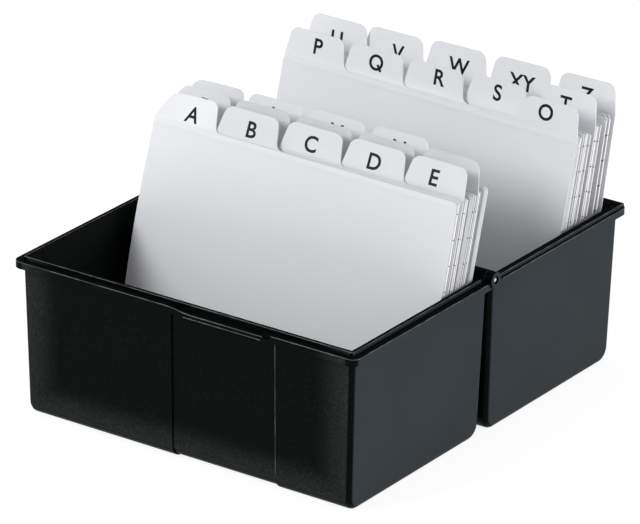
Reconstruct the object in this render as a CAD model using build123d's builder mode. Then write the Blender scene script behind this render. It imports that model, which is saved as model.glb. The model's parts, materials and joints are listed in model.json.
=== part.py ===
from build123d import *
import os
from math import atan2, cos, radians, sin, tan

# A card index tray for A6 cards, in millimetres. Two deep plastic halves are joined at
# their rims by a steel pin and lie open, flat on the table. The origin is the middle of
# the front half's base, +X runs along the cards, +Y towards the rear half and +Z up.

os.makedirs("parts", exist_ok=True)

# ---- the tray -------------------------------------------------------------------------
hinge_y = 47.0            # the pin's axis, from the middle of the front half's base
hinge_z = 67.6            # and above the table, level with the rims
wall = 2.3                # moulded wall and floor
draft = 1.6               # how far each wall leans in over its height
near_gap = 0.4            # each half's hinge wall stands this far from the hinge plane
foot_radius = 6.0         # round along the front and rear bottom edges
side_radius = 2.5         # round along each side's bottom and upright edges

front_half = 79.3         # half width outside, at the rim
front_far = 93.3          # from the hinge axis to the outside of the far wall, at the rim
rear_half = 80.1          # the rear half is the lid, so it is a little larger
rear_far = 94.0

flange_out = 2.7          # how far the rim's flange stands out
flange_bottom = 64.0
flange_radius = 3.5
ledge = 66.9              # top of the flange
raised = 68.25            # a raised band on it; shut, each half's band meets the other's ledge
front_band = (0, 1.6)     # the front half's band, from the inner edge outwards
rear_band = (1.0, 3.8)    # the lid's band closes round it

# ---- the hinge ------------------------------------------------------------------------
barrel_radius = 3.3
barrel_room = 3.7         # scooped out of the other half round each barrel
pin_radius = 1.0
bore_radius = 1.04        # running fit on the pin
ear_in, ear_out = 79.7, 82.8
ear_hole_radius, ear_hole_deep = 1.6, 0.9
pin_half = ear_out - 0.5
knuckle_gap = 0.5
front_knuckles = [(-78.8, -56), (-33.5, -11.5), (11.5, 33.5), (56, 78.8)]
rear_knuckles = [(-55.5, -34), (-11, 11), (34, 55.5)]
neck_bottom = 62.5

# ---- the catch ------------------------------------------------------------------------
panel_left, panel_right = -6.6, 42.8   # the shallow recess down the front wall
panel_deep = 0.6
panel_under = 84.0        # the recess runs this far back under the base
bar_left, bar_right = 4.6, 38.7        # the straight part of the catch bar
bar_top = 65.7
bar_in = 94.7             # the bar's inner face, with the slot behind it
slot_left, slot_right = -3.5, 40.0
slot_in = 93.0
hook_left, hook_right = 7.0, 35.0
hook_in, hook_out = 93.35, 94.5
hook_top = 74.2
barb_out, barb_tall = 95.3, 2.6

# ---- guides and cards -----------------------------------------------------------------
card_wide, card_tall = 148.0, 105.0    # A6 on its long side
card_floor = 2.6          # a card's foot, just above the tray's floor
guide_thick = 0.45
card_gap = 0.15
corner_radius = 2.0
tab_pitch = card_wide / 5
tab_top, tab_base = 25.6, 30.0
tab_offset = 0.7          # the row of tabs stands a little to the right on its sheet
tab_tall = 12.0
tab_radius, tab_root = 4.0, 3.0
end_lean = 1.8            # an end tab's outer side leans in this far from the card's edge
bundle_wide = 147.2
sheet_thick = 0.75        # a bundle of cards steps in and out in slices this thick
sheet_shift = [(0.0, 0.0), (-0.4, -0.3), (0.3, -0.8), (-0.2, 0.0), (0.1, -0.5)]
# foot behind the hinge axis in mm, lean and yaw in degrees, of the first and last card
front_first, front_last = (-42.1, 14.0, 1.5), (-23.5, 15.5, 0.6)
rear_first, rear_last = (44.1, 13.9, 2.8), (74.7, 11.9, 0.0)
front_middle, rear_middle = 1.1, 1.7   # the cards stand a little to the right
# a few guides and the last bundle have slipped sideways
slipped = {
    "guide_d": 0.2, "guide_v": -2.6, "guide_w": -2.6, "guide_xy": -1.4, "guide_z": 0.2,
    "cards_10": -2.6,
}


def hinge_plane(x_dir, z_dir):
    return Plane(origin=(0, hinge_y, 0), x_dir=x_dir, z_dir=z_dir)


side_view = hinge_plane((0, 1, 0), (1, 0, 0))     # local x is Y from the hinge, y is Z
front_view = hinge_plane((1, 0, 0), (0, -1, 0))   # local x is X, y is Z
floor_view = hinge_plane((1, 0, 0), (0, 0, 1))    # local x is X, y is Y from the hinge


def side_outline(way, near, far, floor, radius, left=0):
    """The side view of a half or of its hollow: two leaning walls and a rounded floor."""
    top = ledge
    lean = draft * (top - floor) / ledge
    with BuildSketch(side_view.offset(left)) as outline:
        with BuildLine():
            Polyline(
                (way * near, top),
                (way * (near + lean), floor),
                (way * (far - lean), floor),
                (way * far, top),
                close=True,
            )
        make_face()
        fillet(outline.vertices().group_by(Axis.Y)[0], radius)
    return outline.sketch


def drafted_block(half, way, near, far, floor, radius):
    """A block with its side outline pushed across and its two sides leaning in."""
    with BuildPart() as block:
        extrude(side_outline(way, near, far, floor, radius), amount=half, both=True)
        tilt = atan2(draft, ledge)
        for side in (-1, 1):
            cut = Plane(
                origin=(side * half, 0, ledge), z_dir=(side * cos(tilt), 0, -sin(tilt))
            )
            split(bisect_by=cut, keep=Keep.BOTTOM)
    return block.part


def rim_band(way, half, far, inner, outer):
    """The raised band along the two sides and the far wall, by its distances outwards."""
    start = barrel_room
    with BuildPart() as loop:
        with BuildSketch(floor_view.offset(ledge)):
            for offset, mode in ((outer, Mode.ADD), (inner, Mode.SUBTRACT)):
                reach = far + offset
                wide = 2 * (half + offset)
                with Locations((0, way * (reach + start) / 2)):
                    Rectangle(wide, reach - start, mode=mode)
        extrude(amount=raised - ledge)
    return loop.part


def barrel(left, right, radius):
    with BuildPart() as rod:
        with BuildSketch(side_view.offset(left)):
            with Locations((0, hinge_z)):
                Circle(radius)
        extrude(amount=right - left)
    return rod.part


def neck(way, left, right, high, reach):
    """The web that carries a knuckle on its own half's hinge wall."""
    with BuildPart() as web:
        with BuildSketch(side_view.offset(left)):
            with BuildLine():
                Polyline(
                    (way * near_gap, neck_bottom),
                    (way * near_gap, high),
                    (way * reach, high),
                    (way * reach, neck_bottom),
                    close=True,
                )
            make_face()
        extrude(amount=right - left)
    return web.part


def tray_body(way, half, far, band):
    """A half with its flange, band and hollow, and the hinge line scooped out of its rim."""
    inner_half, inner_far = half - wall, far - wall
    with BuildPart() as body:
        add(drafted_block(half, way, near_gap, far, 0, foot_radius))
        for side in (0, -1):
            cheek = body.faces().sort_by(Axis.X)[side]
            fillet(cheek.edges().sort_by(Axis.Z)[:-1], radius=side_radius)
        with BuildSketch(floor_view.offset(flange_bottom)) as flange:
            reach = far + flange_out
            with Locations((0, way * (reach + near_gap) / 2)):
                Rectangle(2 * (half + flange_out), reach - near_gap)
            ends = flange.vertices().group_by(Axis.Y)[-1 if way > 0 else 0]
            fillet(ends, flange_radius)
        extrude(amount=ledge - flange_bottom)
        hollow = drafted_block(
            inner_half, way, near_gap + wall, inner_far, wall, foot_radius - wall,
        )
        add(hollow, mode=Mode.SUBTRACT)
        add(rim_band(way, inner_half, inner_far, *band))
        scoop = barrel(-2 * half, 2 * half, barrel_room)
        add(scoop, mode=Mode.SUBTRACT)
    return body.part


def knuckled(spans, way):
    """A half's barrels with their necks, for the given stretches of the hinge line."""
    reach = near_gap + wall
    with BuildPart() as knuckles:
        for left, right in spans:
            add(barrel(left, right, barrel_radius))
            add(neck(way, left, right, hinge_z - 1, reach))
    return knuckles.part


# the shallow panel down the front wall, round the bottom edge and under the base
with BuildPart() as panel:
    with BuildSketch(side_view.offset(panel_left)):
        with BuildLine():
            Polyline(
                (-panel_under, -1),
                (-panel_under, flange_bottom),
                (-front_far - 1, flange_bottom),
                (-front_far - 1, -1),
                close=True,
            )
        make_face()
    extrude(amount=panel_right - panel_left)
    kept = side_outline(
        -1, near_gap, front_far - panel_deep, panel_deep,
        foot_radius - panel_deep, panel_left,
    )
    extrude(kept, amount=panel_right - panel_left, mode=Mode.SUBTRACT)

# ---- front tray: deep moulded half with a stepped rim, knuckles, panel and catch bar -----
with BuildPart() as front_tray:
    add(tray_body(-1, front_half, front_far, front_band))
    add(knuckled(front_knuckles, -1))
    add(panel.part, mode=Mode.SUBTRACT)

    # the slot behind the catch bar, and the bar's lowered top with its ramp and notch
    with BuildSketch(floor_view.offset(flange_bottom - 1)):
        with Locations(((slot_left + slot_right) / 2, -(slot_in + bar_in) / 2)):
            Rectangle(slot_right - slot_left, bar_in - slot_in)
    extrude(amount=raised, mode=Mode.SUBTRACT)
    with BuildSketch(front_view.offset(bar_in)):
        with BuildLine():
            ramp = Spline(
                (panel_left, ledge), (bar_left, bar_top),
                tangents=[(1, 0), (1, 0)],
            )
            Polyline(
                ramp @ 1,
                (bar_right, bar_top),
                (bar_right + 1.2, bar_top - 0.7),
                (bar_right + 2.4, bar_top - 0.7),
                (panel_right, ledge),
                (panel_right, ledge + 2),
                (panel_left, ledge + 2),
                ramp @ 0,
            )
        make_face()
    extrude(amount=front_far + flange_out - bar_in + 1, mode=Mode.SUBTRACT)

    add(barrel(-2 * front_half, 2 * front_half, bore_radius), mode=Mode.SUBTRACT)

# ---- rear tray: the lid half, with a stepped rim to match, knuckles, ears and snap hook --
with BuildPart() as rear_tray:
    add(tray_body(1, rear_half, rear_far, rear_band))
    add(knuckled(rear_knuckles, 1))
    for left, right in ((-ear_out, -ear_in), (ear_in, ear_out)):
        add(barrel(left, right, barrel_radius))
        with BuildSketch(side_view.offset(left)):
            with BuildLine():
                Polyline(
                    (0, flange_bottom),
                    (0, ledge),
                    (barrel_room + 1, ledge),
                    (barrel_room + 1, flange_bottom),
                    close=True,
                )
            make_face()
        extrude(amount=right - left)

    # the snap hook stands on the far rim, opposite the front half's slot
    with BuildSketch(side_view.offset(hook_left)):
        with BuildLine():
            Polyline(
                (hook_in, ledge - 1),
                (hook_in, hook_top),
                (hook_out, hook_top),
                (barb_out, hook_top - barb_tall + 0.8),
                (barb_out, hook_top - barb_tall),
                (hook_out, hook_top - barb_tall),
                (hook_out, ledge - 1),
                close=True,
            )
        make_face()
    extrude(amount=hook_right - hook_left)

    add(barrel(-2 * rear_half, 2 * rear_half, bore_radius), mode=Mode.SUBTRACT)
    for left in (-ear_out, ear_out - ear_hole_deep):
        add(barrel(left, left + ear_hole_deep, ear_hole_radius), mode=Mode.SUBTRACT)

# ---- hinge pin: plain steel rod through every knuckle -----------------------------------
with BuildPart() as hinge_pin:
    add(barrel(-pin_half, pin_half, pin_radius))
    chamfer(hinge_pin.edges().filter_by(GeomType.CIRCLE), 0.2)


def leaning_plane(middle, foot, lean, yaw):
    """The front face of a standing card: foot is its distance behind the hinge axis."""
    a, b = radians(lean), radians(yaw)
    across = Vector(cos(b), -sin(b), 0)
    up = Vector(sin(b) * sin(a), cos(b) * sin(a), cos(a))
    origin = Vector(middle, hinge_y + foot, card_floor)
    return Plane(origin=origin, x_dir=across, z_dir=across.cross(up))


def guide(place, tab):
    """An index guide: an A6 sheet with one of five tabs standing on its top edge."""
    half, tip, root = card_wide / 2, tab_top / 2, tab_base / 2
    middle = (tab - 2) * tab_pitch + tab_offset
    high = card_tall + tab_tall
    points = [(-half, 0, 0), (half, 0, 0)]
    if tab == 4:
        points += [(half, card_tall, 0), (half - end_lean, high, tab_radius)]
    else:
        points += [(half, card_tall, corner_radius), (middle + root, card_tall, tab_root)]
        points += [(middle + tip, high, tab_radius)]
    if tab == 0:
        points += [(end_lean - half, high, tab_radius), (-half, card_tall, 0)]
    else:
        points += [(middle - tip, high, tab_radius), (middle - root, card_tall, tab_root)]
        points += [(-half, card_tall, corner_radius)]
    with BuildSketch() as outline:
        with BuildLine():
            Polyline(*[(x, y) for x, y, r in points], close=True)
        make_face()
        for x, y, r in points:
            if r:
                fillet(outline.vertices().sort_by_distance(Vector(x, y, 0))[0], r)
    with BuildPart() as sheet:
        extrude(place * outline.sketch, amount=-guide_thick)
    return sheet.part


def bundle(place, lean, thick, turn):
    """A bundle of index cards, as slices that stand a little out of line."""
    slices = max(1, round(thick / sheet_thick))
    each = thick / slices
    with BuildPart() as cards:
        for i in range(slices):
            across, down = sheet_shift[(i + turn) % len(sheet_shift)]
            low = each * (i + 1) * tan(radians(lean))
            high = card_tall + down - low
            with BuildSketch(place.offset(-each * i)):
                with Locations((across, low + high / 2)):
                    Rectangle(bundle_wide, high)
            extrude(amount=-each)
    return cards.part


def file_cards(items, first, last, middle):
    """Stand guides and bundles in one half. first and last are foot, lean and yaw.

    The space between the first and last planes is shared out by thickness, so that no
    two planes cross, even with every card lifted clear of the tray.
    """
    total = sum(thick + card_gap for kind, tab, thick in items[:-1])
    gone = 0.0
    for number, (kind, tab, thick) in enumerate(items):
        share = gone / total
        foot, lean, yaw = [a + (b - a) * share for a, b in zip(first, last)]
        place = leaning_plane(middle + slipped.get(kind, 0), foot, lean, yaw)
        if kind.startswith("guide"):
            made = guide(place, tab)
        else:
            made = bundle(place, lean, thick, number)
        made.label = kind
        export_step(made, f"parts/{kind}.step")
        gone += thick + card_gap


def guides(letters, first_tab):
    return [("guide_" + n, (first_tab + i) % 5, guide_thick) for i, n in enumerate(letters)]


def cards(number, thick):
    return [(f"cards_{number:02d}", None, thick)]


for tray, label in ((front_tray, "front_tray"), (rear_tray, "rear_tray"),
                    (hinge_pin, "hinge_pin")):
    tray.part.label = label
    export_step(tray.part, f"parts/{label}.step")

# ---- front half: guides A to N with four bundles of cards among them --------------------
front_items = (
    guides("ab", 0) + cards(1, 1.1)
    + guides("cde", 2) + cards(2, 3.0)
    + guides("fghi", 0) + cards(3, 1.3)
    + guides("j", 4) + cards(4, 3.0)
    + guides("klmn", 0)
)
file_cards(front_items, front_first, front_last, front_middle)

# ---- rear half: guides O to Z with six bundles of cards among them ----------------------
rear_items = (
    guides("opqr", 4) + cards(5, 0.9)
    + guides("s", 3) + cards(6, 4.9)
    + guides("t", 4) + cards(7, 4.8)
    + guides("u", 0) + cards(8, 0.5)
    + guides("v", 1) + cards(9, 0.9)
    + guides("w", 2) + guides(["xy"], 3) + guides("z", 4) + cards(10, 2.0)
)
file_cards(rear_items, rear_first, rear_last, rear_middle)
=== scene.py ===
# A card index tray for A6 cards, lying open: two deep black plastic halves on a steel pin,
# with lettered index guides and ruled index cards standing in both. It is dressed round the
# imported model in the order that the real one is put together. Sizes are in metres.
import bpy
import bmesh
import json
from math import atan2, cos, pi, radians, sin
from mathutils import Matrix, Vector


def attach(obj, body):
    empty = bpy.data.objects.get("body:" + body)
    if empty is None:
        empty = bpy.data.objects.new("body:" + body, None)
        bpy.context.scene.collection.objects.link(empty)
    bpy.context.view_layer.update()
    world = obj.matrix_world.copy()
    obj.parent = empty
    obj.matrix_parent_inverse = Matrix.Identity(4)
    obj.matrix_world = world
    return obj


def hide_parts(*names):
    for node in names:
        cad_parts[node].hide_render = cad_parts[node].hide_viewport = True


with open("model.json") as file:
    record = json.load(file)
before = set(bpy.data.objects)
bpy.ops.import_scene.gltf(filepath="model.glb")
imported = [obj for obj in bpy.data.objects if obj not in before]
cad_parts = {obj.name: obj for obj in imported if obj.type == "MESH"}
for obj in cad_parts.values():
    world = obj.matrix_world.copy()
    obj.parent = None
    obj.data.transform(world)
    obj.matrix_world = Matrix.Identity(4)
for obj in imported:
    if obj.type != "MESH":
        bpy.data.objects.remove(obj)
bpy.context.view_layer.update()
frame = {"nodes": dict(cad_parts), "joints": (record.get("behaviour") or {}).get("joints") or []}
nodes = frame["nodes"]

# ---- camera -----------------------------------------------------------------------------
# A long lens from the front right, a little above: the photograph's own viewpoint, worked
# out from the tray's edges. The offset is that of the hinge axis, in the camera's own axes.
image_wide = 640             # in pixels
focal_pixels = 5879
sensor_wide = 36             # in millimetres
camera_pitch, camera_roll, camera_yaw = radians(23.064), radians(0.876), radians(-34.583)
hinge_y = 0.047
hinge_offset = Vector((0.000125, 2.3688, -0.049882))
seen_to = 50                 # nothing further off is rendered


def put(name, data):
    """A new object in the scene."""
    obj = bpy.data.objects.new(name, data)
    bpy.context.scene.collection.objects.link(obj)
    return obj


turn = (
    Matrix.Rotation(camera_roll, 3, "Y")
    @ Matrix.Rotation(camera_pitch, 3, "X")
    @ Matrix.Rotation(camera_yaw, 3, "Z")
)
back = turn.transposed()
camera_place = Vector((0, hinge_y, 0)) - back @ hinge_offset
camera_data = bpy.data.cameras.new("camera")
camera_data.sensor_width = sensor_wide
camera_data.lens = focal_pixels / image_wide * sensor_wide
camera_data.clip_end = seen_to
camera = put("camera", camera_data)
right, ahead, up = (back @ Vector(v) for v in ((1, 0, 0), (0, 1, 0), (0, 0, 1)))
facing = Matrix((right, up, -ahead)).transposed()
camera.matrix_world = Matrix.Translation(camera_place) @ facing.to_4x4()
bpy.context.scene.camera = camera

# ---- the two trays ----------------------------------------------------------------------
# Moulded black plastic. The front and rear walls have a fine spark-eroded grain, painted paler
# along their bottom and upright edges as a painted sheen, and the end walls are smoother and
# painted a lighter slate grey, also a painted sheen; all of it is satin, not glossy.
wall_lean = 0.0239           # how far the end walls lean out, as a share of the height
end_in = 0.0769              # at the base, the end walls' outer faces lie outside this
corner_in = 0.0757           # and the painted sheen stops here, short of the upright corners
far_in = 0.087               # the far walls' outer faces lie further from the hinge than this
sheen_from, sheen_to = 0.018, 0.004      # heights where the painted sheen sets in and where it is full
side_sheen_from, side_sheen_to = 0.060, 0.078      # the same, from the middle outwards
end_facing = (0.9, 0.985)    # how squarely a face has to point sideways to be an end wall
far_facing = (0.88, 0.99)    # and to the front or back, to be a far wall
top_facing = (0.3, 0.9)      # and upwards, to be as matt as the rims' tops
side_rough, top_rough = 0.4, 0.85
grain_scale, blotch_scale = 1300, 26
grain_bump, grain_deep = 0.3, 0.00006


def add_node(tree, kind, inputs=None, **settings):
    """A new shader node; inputs are values for its sockets, or sockets to link to them."""
    node = tree.nodes.new(kind)
    for name, value in settings.items():
        setattr(node, name, value)
    for name, value in (inputs or {}).items():
        if isinstance(value, bpy.types.NodeSocket):
            tree.links.new(value, node.inputs[name])
        else:
            node.inputs[name].default_value = value
    return node


def new_material(name, **sockets):
    """A material with one Principled shader, its tree and that shader."""
    material = bpy.data.materials.new(name)
    material.use_nodes = True
    tree = material.node_tree
    shader = tree.nodes["Principled BSDF"]
    for socket, value in sockets.items():
        shader.inputs[socket.replace("_", " ")].default_value = value
    return material, tree, shader


def dress(obj, material):
    """The piece gets this material and no other."""
    obj.data.materials.clear()
    obj.data.materials.append(material)


def noise(tree, place, scale, detail):
    """A noise from 0 to 1 at the place."""
    inputs = {"Vector": place, "Scale": scale, "Detail": detail}
    return add_node(tree, "ShaderNodeTexNoise", inputs).outputs["Fac"]


def ramp(tree, factor, *stops):
    """A colour ramp of (place, colour) stops; a number stands for a grey."""
    node = add_node(tree, "ShaderNodeValToRGB", {"Fac": factor})
    elements = node.color_ramp.elements
    while len(elements) < len(stops):
        elements.new(0.5)
    for element, (place, colour) in zip(elements, stops):
        element.position = place
        grey = not isinstance(colour, tuple)
        element.color = (colour,) * 3 + (1,) if grey else colour + (1,)
    return node.outputs["Color"]


def mixed(tree, share, first, second):
    """The first colour where the share is 0, and the second where it is 1."""
    inputs = {"Factor": share, "A": first, "B": second}
    return add_node(tree, "ShaderNodeMix", inputs, data_type="RGBA").outputs["Result"]


def maths(tree, operation, first, second=0.0):
    node = add_node(tree, "ShaderNodeMath", {0: first, 1: second}, operation=operation)
    return node.outputs[0]


def faded(tree, value, none, full):
    """0 where the value is none, 1 where it is full, and smooth between."""
    node = add_node(
        tree, "ShaderNodeMapRange", {"Value": value, "From Min": none, "From Max": full},
        interpolation_type="SMOOTHSTEP",
    )
    return node.outputs[0]


def roughen(tree, shader, grain, strength, deep):
    """Link a bump of this grain to the shader."""
    bump = add_node(
        tree, "ShaderNodeBump", {"Height": grain, "Strength": strength, "Distance": deep}
    )
    tree.links.new(bump.outputs["Normal"], shader.inputs["Normal"])


def tray_plastic(name):
    material, tree, shader = new_material(name, Specular_IOR_Level=0.04)
    place = add_node(tree, "ShaderNodeTexCoord").outputs
    grain = noise(tree, place["Object"], grain_scale, 3)
    blotch = noise(tree, place["Object"], blotch_scale, 4)
    normal = add_node(tree, "ShaderNodeSeparateXYZ", {"Vector": place["Normal"]}).outputs
    spot = add_node(tree, "ShaderNodeSeparateXYZ", {"Vector": place["Object"]}).outputs
    sideways = maths(tree, "ABSOLUTE", spot["X"])
    leant = maths(tree, "MULTIPLY", spot["Z"], wall_lean)
    at_base = maths(tree, "SUBTRACT", sideways, leant)
    from_hinge = maths(tree, "ABSOLUTE", maths(tree, "SUBTRACT", spot["Y"], hinge_y))

    end_wall = faded(tree, maths(tree, "ABSOLUTE", normal["X"]), *end_facing)
    outside = maths(tree, "GREATER_THAN", at_base, end_in)
    end_wall = maths(tree, "MULTIPLY", end_wall, outside)
    # the painted sheen: front and rear walls painted paler towards the bottom and their upright
    # edges
    sheen_mask = maths(
        tree, "MAXIMUM", faded(tree, spot["Z"], sheen_from, sheen_to),
        faded(tree, sideways, side_sheen_from, side_sheen_to),
    )
    for limit in (
        faded(tree, maths(tree, "ABSOLUTE", normal["Y"]), *far_facing),
        maths(tree, "GREATER_THAN", from_hinge, far_in),
        maths(tree, "LESS_THAN", at_base, corner_in),
    ):
        sheen_mask = maths(tree, "MULTIPLY", sheen_mask, limit)

    dark = ramp(
        tree, grain, (0.40, (0.0003, 0.0012, 0.0010)), (0.56, (0.0010, 0.0022, 0.0020)),
        (0.68, (0.0040, 0.0060, 0.0058)),
    )
    # the paler grain colour of the painted sheen
    pale = ramp(
        tree, grain, (0.40, (0.0120, 0.0155, 0.0150)), (0.66, (0.027, 0.031, 0.030)),
    )
    # the end walls' lighter slate grey is a painted sheen, standing in for the light they catch
    smooth = ramp(
        tree, blotch, (0.3, (0.0255, 0.032, 0.0375)), (0.7, (0.030, 0.037, 0.0425)),
    )
    grained = mixed(tree, sheen_mask, dark, pale)
    tree.links.new(mixed(tree, end_wall, grained, smooth), shader.inputs["Base Color"])
    matt = faded(tree, normal["Z"], *top_facing)
    rough = add_node(
        tree, "ShaderNodeMapRange", {"Value": matt, "To Min": side_rough, "To Max": top_rough}
    )
    tree.links.new(rough.outputs[0], shader.inputs["Roughness"])
    roughen(tree, shader, grain, grain_bump, grain_deep)
    return material


tray_black = tray_plastic("moulded_black_plastic")
for tray in ("front_tray", "rear_tray"):
    dress(nodes[tray], tray_black)

# ---- rim edges --------------------------------------------------------------------------
# The moulding's small edge radii along the rims and the catch catch the light. They are fine
# wires sunk into the edges, so that only a tenth of a millimetre stands out, and their grey,
# paler than the trays' black and broken into dashes, is a painted highlight.
wire_radius, wire_sunk = 0.00018, 0.00008
wire_start = 0.005           # the wires begin this far from the hinge's axis
corner_steps = 6
flange_radius, band_radius = 0.0035, 0.0001
flange_top, band_top, bar_top, bar_foot = 0.0669, 0.06825, 0.0657, 0.0640
# half the width, and the far side's Y, of each half's flange and of the raised band on it
front_flange, front_band = (0.0820, -0.0490), (0.0786, -0.0456)
rear_flange, rear_band = (0.0828, 0.1437), (0.0816, 0.1425)
panel_left, panel_right = -0.0066, 0.0428
bar_slope = [(-0.0035, 0.0667), (-0.001, 0.0663), (0.0015, 0.0659)]
bar_left, bar_right = 0.0046, 0.0387
bar_foot_left, bar_foot_right = 0.0010, 0.0380
panel_line = [(-0.0462, 0.0635), (-0.0448, 0.0065)]      # Y and Z, down its right side

edge_shine, tree, shader = new_material("rim_edges", Roughness=0.3, Specular_IOR_Level=0.5)
place = add_node(tree, "ShaderNodeTexCoord").outputs["Object"]
# a painted highlight: the wires are painted paler than the trays, broken by this noise into
# dashes
highlight_dashes = noise(tree, place, 160, 3)
tree.links.new(
    ramp(tree, highlight_dashes, (0.42, (0.008, 0.010, 0.010)), (0.62, (0.080, 0.086, 0.088))),
    shader.inputs["Base Color"],
)


def u_line(half, far, radius, top, gap=None):
    """Runs along a rim: down one side, round the far wall's two corners and back. gap cuts
    the far wall's run between two X positions."""
    way = 1 if far > hinge_y else -1
    half, far, high = half - wire_sunk, far - way * wire_sunk, top - wire_sunk
    middle = Vector((half - radius, far - way * radius, high))
    arc = []
    for i in range(corner_steps + 1):
        turned = pi / 2 * i / corner_steps
        arc.append(middle + Vector((radius * cos(turned), way * radius * sin(turned), 0)))
    near = Vector((half, hinge_y + way * wire_start, high))
    right_run = [near] + arc
    left_run = [Vector((-p.x, p.y, p.z)) for p in reversed(right_run)]
    if gap is None:
        return [right_run + left_run]
    return [
        right_run + [Vector((gap[1], far, high))], [Vector((gap[0], far, high))] + left_run
    ]


def as_mesh(curve):
    """The mesh of a curve or of type."""
    carrier = put(curve.name, curve)
    bpy.context.view_layer.update()
    mesh = bpy.data.meshes.new_from_object(carrier)
    bpy.data.objects.remove(carrier)
    return mesh


def wires(name, runs, body):
    data = bpy.data.curves.new(name, "CURVE")
    data.dimensions = "3D"
    data.bevel_depth = wire_radius
    data.bevel_resolution = 2
    data.use_fill_caps = True
    for run in runs:
        spline = data.splines.new("POLY")
        spline.points.add(len(run) - 1)
        for point, at in zip(spline.points, run):
            point.co = (at.x, at.y, at.z, 1)
    piece = put(name, as_mesh(data))
    dress(piece, edge_shine)
    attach(piece, body)


front_runs = u_line(*front_flange, flange_radius, flange_top, (panel_left, panel_right))
front_runs += u_line(*front_band, band_radius, band_top)
# the flange's top edge runs down to the catch bar, whose foot has a line of its own
bar_face = front_flange[1] + wire_sunk
bar_line = [(panel_left, flange_top), *bar_slope, (bar_left, bar_top), (bar_right, bar_top)]
front_runs.append([Vector((x, bar_face, z - wire_sunk)) for x, z in bar_line])
foot_line = (bar_foot_left, bar_foot_right)
front_runs.append([Vector((x, bar_face, bar_foot + wire_sunk)) for x in foot_line])
front_runs.append([Vector((panel_right, y, z)) for y, z in panel_line])
wires("front_rim_edges", front_runs, "front_tray")
rear_runs = u_line(*rear_flange, flange_radius, flange_top)
rear_runs += u_line(*rear_band, band_radius, band_top)
wires("rear_rim_edges", rear_runs, "rear_tray")

# ---- hinge pin --------------------------------------------------------------------------
# A plain steel rod pushed through the knuckles; only its bright ends show, in the ears.
pin_streaks = (40, 2400, 2400)         # the noise is stretched along the rod
pin_steel, tree, shader = new_material("pin_steel", Metallic=1.0)
place = add_node(tree, "ShaderNodeTexCoord").outputs["Object"]
drawn = add_node(tree, "ShaderNodeMapping", {"Vector": place, "Scale": pin_streaks})
streak = noise(tree, drawn.outputs[0], 1.0, 2)
tree.links.new(
    ramp(tree, streak, (0.3, (0.50, 0.50, 0.52)), (0.7, (0.72, 0.72, 0.74))),
    shader.inputs["Base Color"],
)
tree.links.new(
    ramp(tree, streak, (0.3, 0.2), (0.7, 0.38)), shader.inputs["Roughness"]
)
dress(nodes["hinge_pin"], pin_steel)

# ---- index guides -----------------------------------------------------------------------
# Stiff pale grey plastic sheets, cut with one of five tabs on top. Each stands in its own
# leaning plane, which its lift-out joint gives: up the sheet, across it and out of its face.
# The ones behind the first sheet, up to K, get a darker copy of the plastic, a painted shade
# that dims their tabs.
tab_tall = 0.012
cool_grey, warm_grey = (0.835, 0.845, 0.875), (0.860, 0.868, 0.892)
# the painted shade's share of the colour, for the darker copy of the guide plastic
shade_tone = 0.87
shaded_guides = ["guide_" + letter for letter in "bcdefghijk"]
lift_axis = {j["child"]: Vector(j["axis"]) for j in frame["joints"] if j["type"] == "slide"}


def sheet_axes(name):
    """Across, up and out of the front face of the sheet with this node's name."""
    rise = lift_axis[name]
    yaw = atan2(rise.x, rise.y)
    across = Vector((cos(yaw), -sin(yaw), 0))
    return across, rise, across.cross(rise)


def sheet_material(name, tone):
    """Pale plastic with a faint cloudy sheen and a fine matt grain; tone dims its colour, as
    painted shade where it is below 1.
    """
    material, tree, shader = new_material(name, Roughness=0.42, Specular_IOR_Level=0.3)
    place = add_node(tree, "ShaderNodeTexCoord").outputs["Object"]
    cloud = noise(tree, place, 14, 3)
    cool, warm = (tuple(tone * part for part in grey) for grey in (cool_grey, warm_grey))
    tree.links.new(ramp(tree, cloud, (0.3, cool), (0.7, warm)), shader.inputs["Base Color"])
    roughen(tree, shader, noise(tree, place, 1500, 2), 0.08, 0.00004)
    return material


guide_plastic = sheet_material("guide_plastic", 1)
# a darker copy of the same plastic: painted shade
shaded_guide_material = sheet_material("shaded_guide_plastic", shade_tone)
guides = sorted(name for name in nodes if name.startswith("guide_"))
for name in guides:
    dress(nodes[name], shaded_guide_material if name in shaded_guides else guide_plastic)

# ---- bent guides ------------------------------------------------------------------------
# Handling has bent the front tabs back a little, more so at the left end, and the first
# sheet bows. These copies of the flat sheets carry those bends; below the tabs, only the
# first sheet, with nothing in front of it, leaves its own plane.
card_wide, card_tall = 0.148, 0.105
tab_wide = card_wide / 5
fold_run = 0.0012            # the length that the bend above the body takes
ridge_high, ridge_run = 0.00009, 0.0036
# bend of the tab in degrees at the sheet's left end and at the tab's other side, the belly
# of the body's left end, and the rounded ridge under the body's top edge
bends = {
    "guide_a": (40, 8, 0.0030, ridge_high),
    "guide_b": (10, 10, 0, 0),
    "guide_c": (10, 10, 0, 0),
    "guide_d": (10, 10, 0, 0),
    "guide_e": (10, 10, 0, 0),
    "guide_f": (30, 6, 0, 0),
    "guide_k": (30, 6, 0, 0),
    "guide_o": (0, 0, 0, ridge_high),
}
bands_up, bands_across = 21, 30
ridge_bands, fold_bands, tab_bands = 8, 3, 8
weld_near, cut_near = 1e-6, 1e-7
sharp_angle = radians(40)


def sheet_corner(name):
    """The lower left corner of the sheet's front face."""
    across, rise, out = sheet_axes(name)
    points = [v.co for v in nodes[name].data.vertices]
    low = [min(p.dot(axis) for p in points) for axis in (across, rise)]
    return across * low[0] + rise * low[1] + out * max(p.dot(out) for p in points)


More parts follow.
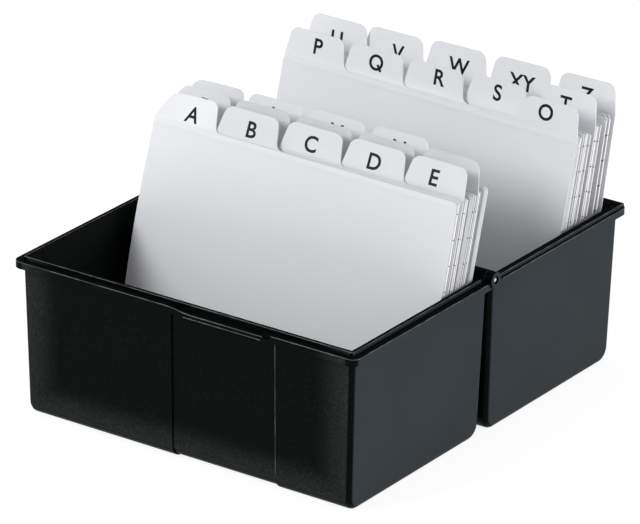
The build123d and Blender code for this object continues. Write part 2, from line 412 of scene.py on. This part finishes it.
def bend(name, mesh):
    """Move the mesh's points, drawn on the flat sheet, to where the bent sheet is."""
    left_fold, right_fold, belly, ridge = bends[name]
    axes = sheet_axes(name)
    corner = sheet_corner(name)
    for vert in mesh.vertices:
        across, up, proud = ((vert.co - corner).dot(axis) for axis in axes)
        along = across / card_wide
        forward = belly * (1 - along) ** 2 * sin(pi * min(up / card_tall, 1))
        below = (card_tall - up) / ridge_run
        if 0 < below < 1:
            forward += ridge * sin(pi * below) ** 2
        over = max(up - card_tall, 0)
        beside = min(across / tab_wide, 1)
        fold = radians(left_fold + (right_fold - left_fold) * beside)
        curved = min(over, fold_run)
        half_turn = fold * curved / fold_run / 2
        straight = over - curved
        backward = curved * sin(half_turn) + straight * sin(fold)
        risen = curved * cos(half_turn) + straight * cos(fold)
        new_up = up - over + risen
        vert.co = (
            corner + axes[0] * across + axes[1] * new_up
            + axes[2] * (proud + forward - backward)
        )


def cut_up(bm, name, heights, places):
    """Cut the faces into bands, so that they can bend: distances from the sheet's corner."""
    across, rise = sheet_axes(name)[:2]
    corner = sheet_corner(name)
    cuts = [(corner + rise * high, rise) for high in heights]
    cuts += [(corner + across * place, across) for place in places]
    for at, normal in cuts:
        geometry = bm.verts[:] + bm.edges[:] + bm.faces[:]
        bmesh.ops.bisect_plane(bm, geom=geometry, dist=cut_near, plane_co=at, plane_no=normal)


def steps(start, end, count):
    return [start + (end - start) * i / count for i in range(count + 1)]


body_heights = steps(0, card_tall, bands_up)
body_heights += steps(card_tall - ridge_run, card_tall, ridge_bands)
tab_heights = steps(card_tall, card_tall + fold_run, fold_bands)
tab_heights += steps(card_tall + 2 * fold_run, card_tall + tab_tall, tab_bands)


def bent_sheet(name):
    bm = bmesh.new()
    bm.from_mesh(nodes[name].data)
    bmesh.ops.remove_doubles(bm, verts=bm.verts[:], dist=weld_near)
    cut_up(bm, name, body_heights + tab_heights, steps(0, card_wide, bands_across))
    for edge in bm.edges:
        edge.smooth = edge.calc_face_angle(pi) < sharp_angle
    for face in bm.faces:
        face.smooth = True
    mesh = bpy.data.meshes.new("bent_" + name)
    bm.to_mesh(mesh)
    bm.free()
    bend(name, mesh)
    sheet = put("bent_" + name, mesh)
    dress(sheet, shaded_guide_material if name in shaded_guides else guide_plastic)
    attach(sheet, name)
    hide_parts(name)


for name in bends:
    bent_sheet(name)

# ---- letters ----------------------------------------------------------------------------
# One plain bold capital, or a pair, printed in black on the front of each tab. The Q is an
# O with a short straight tail.
cap_tall = 0.0070
cap_share = 0.729            # a capital's height as a share of the type size
stroke_more = 0.00017        # how far the strokes are thickened all round
# right of the tab's middle, and the capital's middle above the tab's foot
usual_place = (0, 0.0056)
letter_place = {
    "a": (0.0021, 0.0048), "b": (0.0012, 0.0052), "c": (-0.0007, 0.0054),
    "d": (-0.0003, 0.0052), "e": (-0.0014, 0.0054), "g": (0, 0.0045), "h": (0, 0.0045),
    "j": (0, 0.0045), "k": (0, 0.0045), "o": (-0.0023, 0.0071), "p": (0.0008, 0.0066),
    "q": (0.0003, 0.0066), "r": (0.0018, 0.0074), "s": (0, 0.0070), "t": (-0.0012, 0.0060),
    "u": (-0.0004, 0.0038), "v": (0.0018, 0.0039), "w": (0.0010, 0.0040),
    "xy": (0.0004, 0.0037), "z": (0, 0.0050),
}
ink_thick, ink_clear = 0.00002, 0.00003
curve_steps = 6
letter_bands = 148           # a bent tab's letter is cut at every millimetre of the sheet
# the tail's corners, from the O's middle
tail = [(0.0003, -0.0014), (0.0013, -0.0008), (0.0033, -0.0034), (0.0023, -0.0040)]

ink, tree, shader = new_material("letter_ink", Roughness=0.5, Specular_IOR_Level=0.2)
place = add_node(tree, "ShaderNodeTexCoord").outputs["Object"]
mottle = noise(tree, place, 2500, 2)
tree.links.new(
    ramp(tree, mottle, (0.3, (0.002, 0.002, 0.003)), (0.7, (0.008, 0.008, 0.010))),
    shader.inputs["Base Color"],
)


def tab_middle(name):
    """The middle of the tab's foot, on the flat sheet's front face."""
    across, rise, out = sheet_axes(name)
    points = [v.co for v in nodes[name].data.vertices]
    top = max(p.dot(rise) for p in points)
    tab = [p.dot(across) for p in points if p.dot(rise) > top - tab_tall / 2]
    front = max(p.dot(out) for p in points)
    middle = (min(tab) + max(tab)) / 2
    return across * middle + rise * (top - tab_tall) + out * front


def type_mesh(words):
    """The words as a flat mesh, standing on the X axis and centred on it."""
    text = bpy.data.curves.new("type", "FONT")
    text.body = words
    text.size = (cap_tall - 2 * stroke_more) / cap_share
    text.offset = stroke_more
    text.align_x = "CENTER"
    text.extrude = ink_thick / 2
    text.resolution_u = curve_steps
    return as_mesh(text)


def add_tail(mesh):
    """Lay a slanting bar over the foot of an O, to make it a Q."""
    middle = Vector((0, cap_tall / 2, 0))
    bm = bmesh.new()
    bm.from_mesh(mesh)
    faces = []
    for high in (-ink_thick / 2, ink_thick / 2):
        faces.append([bm.verts.new(middle + Vector((x, y, high))) for x, y in tail])
    bm.faces.new(faces[1])
    bm.faces.new(reversed(faces[0]))
    for i in range(len(tail)):
        j = (i + 1) % len(tail)
        bm.faces.new((faces[0][i], faces[0][j], faces[1][j], faces[1][i]))
    bmesh.ops.recalc_face_normals(bm, faces=bm.faces[:])
    bm.to_mesh(mesh)
    bm.free()


def print_letter(name):
    letters = name.split("_")[1]
    across, rise, out = sheet_axes(name)
    mesh = type_mesh("O" if letters == "q" else letters.upper())
    if letters == "q":
        add_tail(mesh)
    shift, up = letter_place.get(letters, usual_place)
    foot = tab_middle(name) + rise * (up - cap_tall / 2 + stroke_more)
    foot += across * shift + out * ink_clear
    axes = Matrix((across, rise, out)).transposed().to_4x4()
    mesh.transform(Matrix.Translation(foot) @ axes)
    if name in bends:
        bm = bmesh.new()
        bm.from_mesh(mesh)
        cut_up(bm, name, tab_heights, steps(0, card_wide, letter_bands))
        bm.to_mesh(mesh)
        bm.free()
        bend(name, mesh)
    letter = put("letter_" + letters, mesh)
    dress(letter, ink)
    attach(letter, name)


for name in guides:
    print_letter(name)

# ---- index cards ------------------------------------------------------------------------
# Bundles of ruled white card. The edges of the sheets show as pale lines with dark gaps
# here and there, the dark being painted shade, and the ruling runs out over some of them as
# small dark dots.
card_thick = 0.00026
ruling_pitch, ruling_wide = 0.0104, 0.0005
ruling_slip = 0.05           # how far the sheets' rulings are out of line, in pitches
printed_share = 0.3          # on this share of the sheets, the ruling reaches the edge
line_scale = 0.45            # lines on the bundles' edges, to the thickness of a card
card_white, ruling_ink = (0.80, 0.80, 0.82, 1), (0.16, 0.18, 0.22, 1)
face_on = 0.5                # a face turned less than this to a card's front is an edge


def measured(tree, place, axis):
    """The distance of the place along an axis, scaled by the axis' own length."""
    node = add_node(
        tree, "ShaderNodeVectorMath", {0: place, 1: axis}, operation="DOT_PRODUCT"
    )
    return node.outputs["Value"]


def ruled_card(name):
    rise, out = sheet_axes(name)[1:]
    material, tree, shader = new_material(name + "_card", Roughness=0.7)
    place = add_node(tree, "ShaderNodeTexCoord").outputs
    depth = measured(tree, place["Object"], out / card_thick)
    high = measured(tree, place["Object"], rise / ruling_pitch)
    lines = add_node(
        tree, "ShaderNodeTexNoise", {"W": depth, "Scale": line_scale, "Detail": 1},
        noise_dimensions="1D",
    ).outputs["Fac"]
    # the near-black stop is painted shade in the gaps between the sheets
    edge = ramp(
        tree, lines, (0.34, (0.04, 0.045, 0.05)), (0.40, (0.82, 0.83, 0.85)),
        (0.60, (0.94, 0.94, 0.95)), (0.70, (0.50, 0.51, 0.53)),
    )
    chance = add_node(
        tree, "ShaderNodeTexWhiteNoise", {"W": maths(tree, "FLOOR", depth)},
        noise_dimensions="1D",
    ).outputs["Value"]
    slipped = maths(tree, "ADD", high, maths(tree, "MULTIPLY", chance, ruling_slip))
    in_pitch = maths(tree, "FRACT", slipped)
    rule = maths(tree, "LESS_THAN", in_pitch, ruling_wide / ruling_pitch)
    facing = maths(tree, "ABSOLUTE", measured(tree, place["Normal"], out))
    on_edge = maths(tree, "LESS_THAN", facing, face_on)
    printed = maths(
        tree, "MAXIMUM", maths(tree, "LESS_THAN", chance, printed_share),
        maths(tree, "GREATER_THAN", facing, face_on),
    )
    plain = mixed(tree, on_edge, card_white, edge)
    ruled = mixed(tree, maths(tree, "MULTIPLY", rule, printed), plain, ruling_ink)
    tree.links.new(ruled, shader.inputs["Base Color"])
    return material


for name in sorted(nodes):
    if name.startswith("cards_"):
        dress(nodes[name], ruled_card(name))

# ---- floor, light and background --------------------------------------------------------
# A white table without an edge. It shows white to the camera and in reflections and keeps a
# faint shadow under the tray. One soft lamp stands at the front left and two fill in.
floor_half = 6.0
floor_white = (0.92, 0.92, 0.92, 1)
shadow_kept = 0.25
floor_glow, sky_glow = 1.16, 1.05      # as the camera sees them
ambient = 0.46
lamp_aim = Vector((0, 0.05, 0.06))     # the middle of the tray

bm = bmesh.new()
bmesh.ops.create_grid(bm, x_segments=1, y_segments=1, size=floor_half)
mesh = bpy.data.meshes.new("floor")
bm.to_mesh(mesh)
bm.free()
floor = put("floor", mesh)
white, tree, shader = new_material(
    "white_floor", Base_Color=floor_white, Roughness=0.9, Specular_IOR_Level=0.0
)
rays = add_node(tree, "ShaderNodeLightPath").outputs
seen = maths(tree, "MAXIMUM", rays["Is Camera Ray"], rays["Is Glossy Ray"])
seen = maths(tree, "MAXIMUM", seen, rays["Is Transmission Ray"])
share = maths(tree, "MULTIPLY", seen, 1 - shadow_kept)
glow = add_node(
    tree, "ShaderNodeEmission", {"Color": (1, 1, 1, 1), "Strength": floor_glow}
)
both = add_node(
    tree, "ShaderNodeMixShader", {0: share, 1: shader.outputs[0], 2: glow.outputs[0]}
)
tree.links.new(both.outputs[0], tree.nodes["Material Output"].inputs["Surface"])
dress(floor, white)

world = bpy.data.worlds.new("studio")
bpy.context.scene.world = world
world.use_nodes = True
tree = world.node_tree
backdrop = tree.nodes["Background"]
rays = add_node(tree, "ShaderNodeLightPath").outputs
strength = add_node(
    tree, "ShaderNodeMapRange",
    {"Value": rays["Is Camera Ray"], "To Min": ambient, "To Max": sky_glow},
)
tree.links.new(strength.outputs[0], backdrop.inputs["Strength"])
backdrop.inputs["Color"].default_value = (1, 1, 1, 1)


def lamp(name, place, size, power):
    """A square soft light aimed at the middle of the tray."""
    data = bpy.data.lights.new(name, "AREA")
    data.size = size
    data.energy = power
    light = put(name, data)
    aim = lamp_aim - Vector(place)
    turned = aim.to_track_quat("-Z", "Y").to_matrix().to_4x4()
    light.matrix_world = Matrix.Translation(place) @ turned


lamp("key", (-0.55, -0.95, 0.82), 0.5, 9.2)
lamp("top", (-0.1, 0.2, 2.0), 1.1, 3)
lamp("side", (1.4, 0.4, 0.45), 0.6, 10)

bpy.context.scene.view_settings.view_transform = "Standard"
